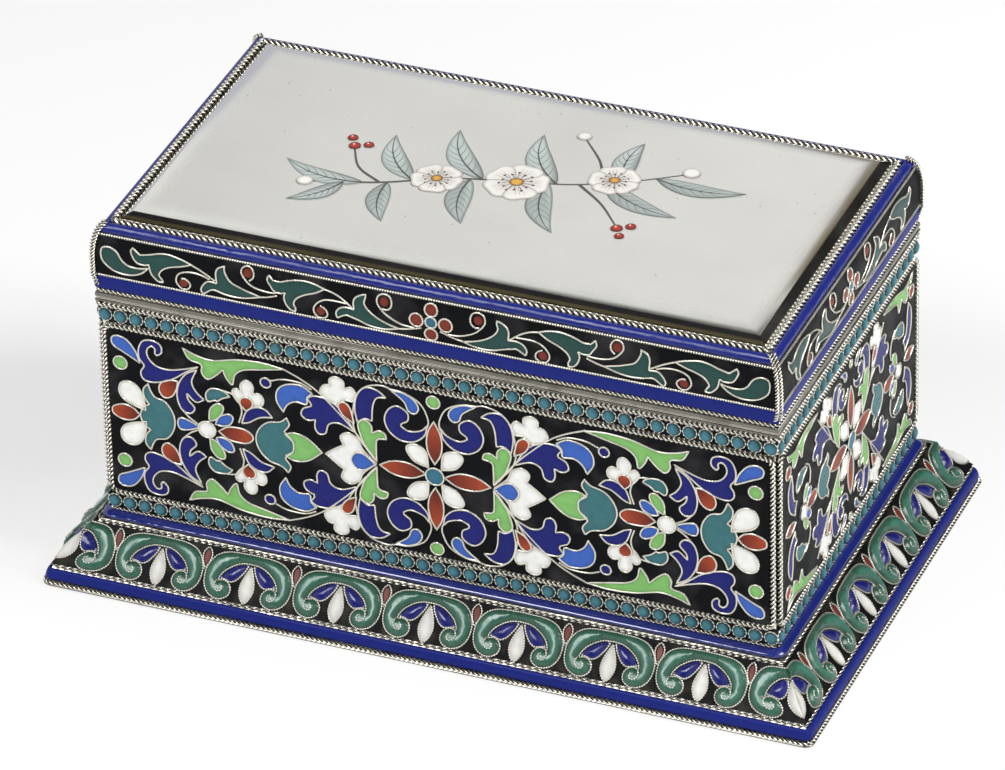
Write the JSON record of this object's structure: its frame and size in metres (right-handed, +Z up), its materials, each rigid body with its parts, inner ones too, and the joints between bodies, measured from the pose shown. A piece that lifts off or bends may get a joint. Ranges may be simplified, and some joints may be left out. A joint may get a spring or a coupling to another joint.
{
  "type": "stamp box",
  "caption": "Rectangular hinged desk box for stamps in silver and cloisonne enamel: sloping palmette base, scroll panels, bead borders, cushion lid and ramped gilt compartments.",
  "frame": {"origin": "middle of the flat underside of the base", "axes": "+X along the long side to the right, -Y to the front, +Z up; the hinge is on the +Y side"},
  "size_m": [0.1102, 0.068, 0.0552],
  "materials": {
    "silver": "polished silver, toned in the hollows",
    "silver_gilt": "soft polished silver-gilt",
    "cobalt_enamel": "glossy opaque enamel",
    "ground_enamel": "blue-black enamel ground with coloured cells and silver wire",
    "turquoise_enamel": "glossy enamel beads in wire rings",
    "green_enamel": "raised glossy enamel palmettes with silver wire",
    "plaque": "burnished silver-white with a painted sprig"
  },
  "bodies": {
    "box": {"base_plate": "silver", "body_top_rope": "silver", "divider_1": "silver_gilt", "divider_2": "silver_gilt", "foot_blue_band": "cobalt_enamel", "foot_rim": "silver", "foot_rope": "silver", "hinge_knuckle_box_1": "silver", "hinge_knuckle_box_2": "silver", "hinge_knuckle_box_3": "silver", "hinge_pin": "silver", "lining_back": "silver_gilt", "lining_front": "silver_gilt", "lining_left": "silver_gilt", "lining_right": "silver_gilt", "lower_bead_band": "turquoise_enamel", "palmette_frieze": "green_enamel", "panel_back": "ground_enamel", "panel_front": "ground_enamel", "panel_left": "ground_enamel", "panel_right": "ground_enamel", "plinth_blue_band": "cobalt_enamel", "plinth_rope": "silver", "rope_frame_back": "silver", "rope_frame_front": "silver", "rope_frame_left": "silver", "rope_frame_right": "silver", "skirt_back": "silver", "skirt_bottom_rope": "silver", "skirt_front": "silver", "skirt_left": "silver", "skirt_right": "silver", "skirt_top_rope": "silver", "stamp_ramp_1": "silver_gilt", "stamp_ramp_2": "silver_gilt", "stamp_ramp_3": "silver_gilt", "upper_bead_band": "turquoise_enamel", "wall_back": "silver", "wall_front": "silver", "wall_left": "silver", "wall_right": "silver"},
    "lid": {"hinge_knuckle_lid_1": "silver", "hinge_knuckle_lid_2": "silver", "lid_corner_rope_back_left": "silver", "lid_corner_rope_front_right": "silver", "lid_corner_rope_left_front": "silver", "lid_corner_rope_right_back": "silver", "lid_edge_rope": "silver", "lid_frieze": "ground_enamel", "lid_lining_plate": "silver_gilt", "lid_lower_blue_band": "cobalt_enamel", "lid_lower_wire": "silver", "lid_plaque": "plaque", "lid_top_rope": "silver", "lid_upper_blue_band": "cobalt_enamel", "lid_upper_wire": "silver", "lid_wall_back": "silver", "lid_wall_front": "silver", "lid_wall_left": "silver", "lid_wall_right": "silver"}
  },
  "joints": [
    {"name": "lid_hinge", "type": "hinge", "parent": "box", "child": "lid", "pos_m": [0, 0.0283, 0.043], "axis": [-1, 0, 0], "range_deg": [0, 100]}
  ]
}
